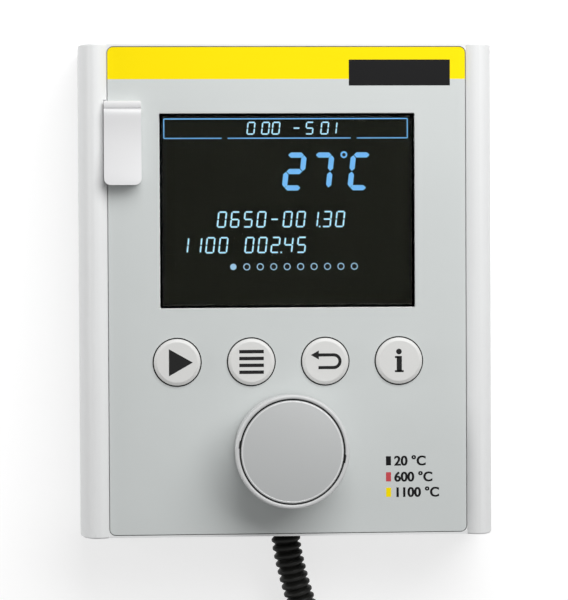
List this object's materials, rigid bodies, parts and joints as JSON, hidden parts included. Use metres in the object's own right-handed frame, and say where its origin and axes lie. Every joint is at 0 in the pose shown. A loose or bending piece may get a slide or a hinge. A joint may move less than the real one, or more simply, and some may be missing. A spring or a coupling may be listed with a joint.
{
  "type": "muffle furnace controller",
  "caption": "Handheld control panel of a muffle furnace: display, keys, push-and-turn knob, hinged port cover and conduit.",
  "frame": {"origin": "middle of the housing's flat back, on the surface that it lies on", "axes": "+Z out of the face, +Y up the face towards the yellow band, +X to the reader's right; conduit leaves towards -Y"},
  "size_m": [0.1849, 0.3123, 0.0542],
  "materials": {
    "rail_plastic": "fine moulded texture, light grey",
    "cover_plastic": "fine moulded texture, grey",
    "panel_plastic": "smooth satin front foil, light grey",
    "header_yellow": "satin printed band",
    "lens": "smooth clear window",
    "lcd": "dark display face",
    "backlight": "diffusing sheet",
    "inner_plastic": "moulded",
    "inner_black": "moulded",
    "board_green": "solder mask",
    "screw_steel": "zinc plated",
    "cell_steel": "plated sheet",
    "insert_brass": "turned",
    "encoder_metal": "turned",
    "knob_grey": "satin",
    "knob_cap_grey": "satin",
    "key_grey": "satin",
    "cover_white": "satin",
    "seal_rubber": "foam",
    "conduit_black": "corrugated, satin",
    "lead_jacket": "smooth jacket",
    "connector_metal": "satin nickel"
  },
  "bodies": {
    "housing": {"front_shell": "rail_plastic", "rear_cover": "cover_plastic", "housing_screws": "screw_steel", "mount_inserts": "insert_brass", "front_panel": "panel_plastic", "header_band": "header_yellow", "display_lens": "lens", "lcd_glass": "lcd", "lcd_backlight": "backlight", "lcd_tray": "inner_plastic", "control_board": "board_green", "board_screws": "screw_steel", "board_chips": "inner_black", "cell_holder": "inner_black", "coin_cell": "cell_steel", "tact_switches": "inner_black", "encoder_body": "encoder_metal", "encoder_washer": "encoder_metal", "encoder_nut": "encoder_metal", "usb_socket_shell": "cell_steel", "usb_socket_insert": "inner_plastic", "usb_seal": "seal_rubber", "usb_board": "board_green", "usb_board_screws": "screw_steel", "usb_cover_base": "cover_white", "usb_hinge_pin": "cell_steel", "conduit_collar": "conduit_black", "board_socket": "inner_plastic", "lead_plug": "inner_plastic", "control_lead": "lead_jacket", "conduit": "conduit_black", "conduit_coil": "conduit_black", "conduit_tail": "conduit_black", "connector_backshell": "connector_metal", "connector_sleeve": "connector_metal", "connector_insert": "inner_black"},
    "start_key": {"start_key": "key_grey", "start_key_plunger": "inner_plastic"},
    "menu_key": {"menu_key": "key_grey", "menu_key_plunger": "inner_plastic"},
    "back_key": {"back_key": "key_grey", "back_key_plunger": "inner_plastic"},
    "info_key": {"info_key": "key_grey", "info_key_plunger": "inner_plastic"},
    "encoder_plunger": {"encoder_plunger": "inner_plastic"},
    "knob": {"encoder_shaft": "encoder_metal", "knob_body": "knob_grey", "knob_cap": "knob_cap_grey"},
    "encoder_rotor": {"encoder_rotor": "inner_black"},
    "usb_cover": {"usb_cover": "cover_white"}
  },
  "joints": [
    {"name": "start_key_press", "type": "slide", "parent": "housing", "child": "start_key", "axis": [0, 0, -1], "range_m": [0, 0.0006], "stiffness_N_per_m": 900, "springref_m": -0.0003},
    {"name": "menu_key_press", "type": "slide", "parent": "housing", "child": "menu_key", "axis": [0, 0, -1], "range_m": [0, 0.0006], "stiffness_N_per_m": 900, "springref_m": -0.0003},
    {"name": "back_key_press", "type": "slide", "parent": "housing", "child": "back_key", "axis": [0, 0, -1], "range_m": [0, 0.0006], "stiffness_N_per_m": 900, "springref_m": -0.0003},
    {"name": "info_key_press", "type": "slide", "parent": "housing", "child": "info_key", "axis": [0, 0, -1], "range_m": [0, 0.0006], "stiffness_N_per_m": 900, "springref_m": -0.0003},
    {"name": "knob_press", "type": "slide", "parent": "housing", "child": "encoder_plunger", "axis": [0, 0, -1], "range_m": [0, 0.0008], "stiffness_N_per_m": 2500, "springref_m": -0.0006},
    {"name": "knob_turn", "type": "hinge", "parent": "encoder_plunger", "child": "knob", "pos_m": [0, -0.05295, 0.045], "axis": [0, 0, 1], "continuous": true},
    {"name": "encoder_rotor_turn", "type": "hinge", "parent": "housing", "child": "encoder_rotor", "pos_m": [0, -0.05295, 0.0303], "axis": [0, 0, 1], "continuous": true},
    {"name": "usb_cover_swing", "type": "hinge", "parent": "housing", "child": "usb_cover", "pos_m": [-0.055, 0.05985, 0.03895], "axis": [-1, 0, 0], "range_deg": [0, 110]}
  ],
  "couplings": [
    {"joint": "encoder_rotor_turn", "follows": "knob_turn", "ratio": 1}
  ]
}
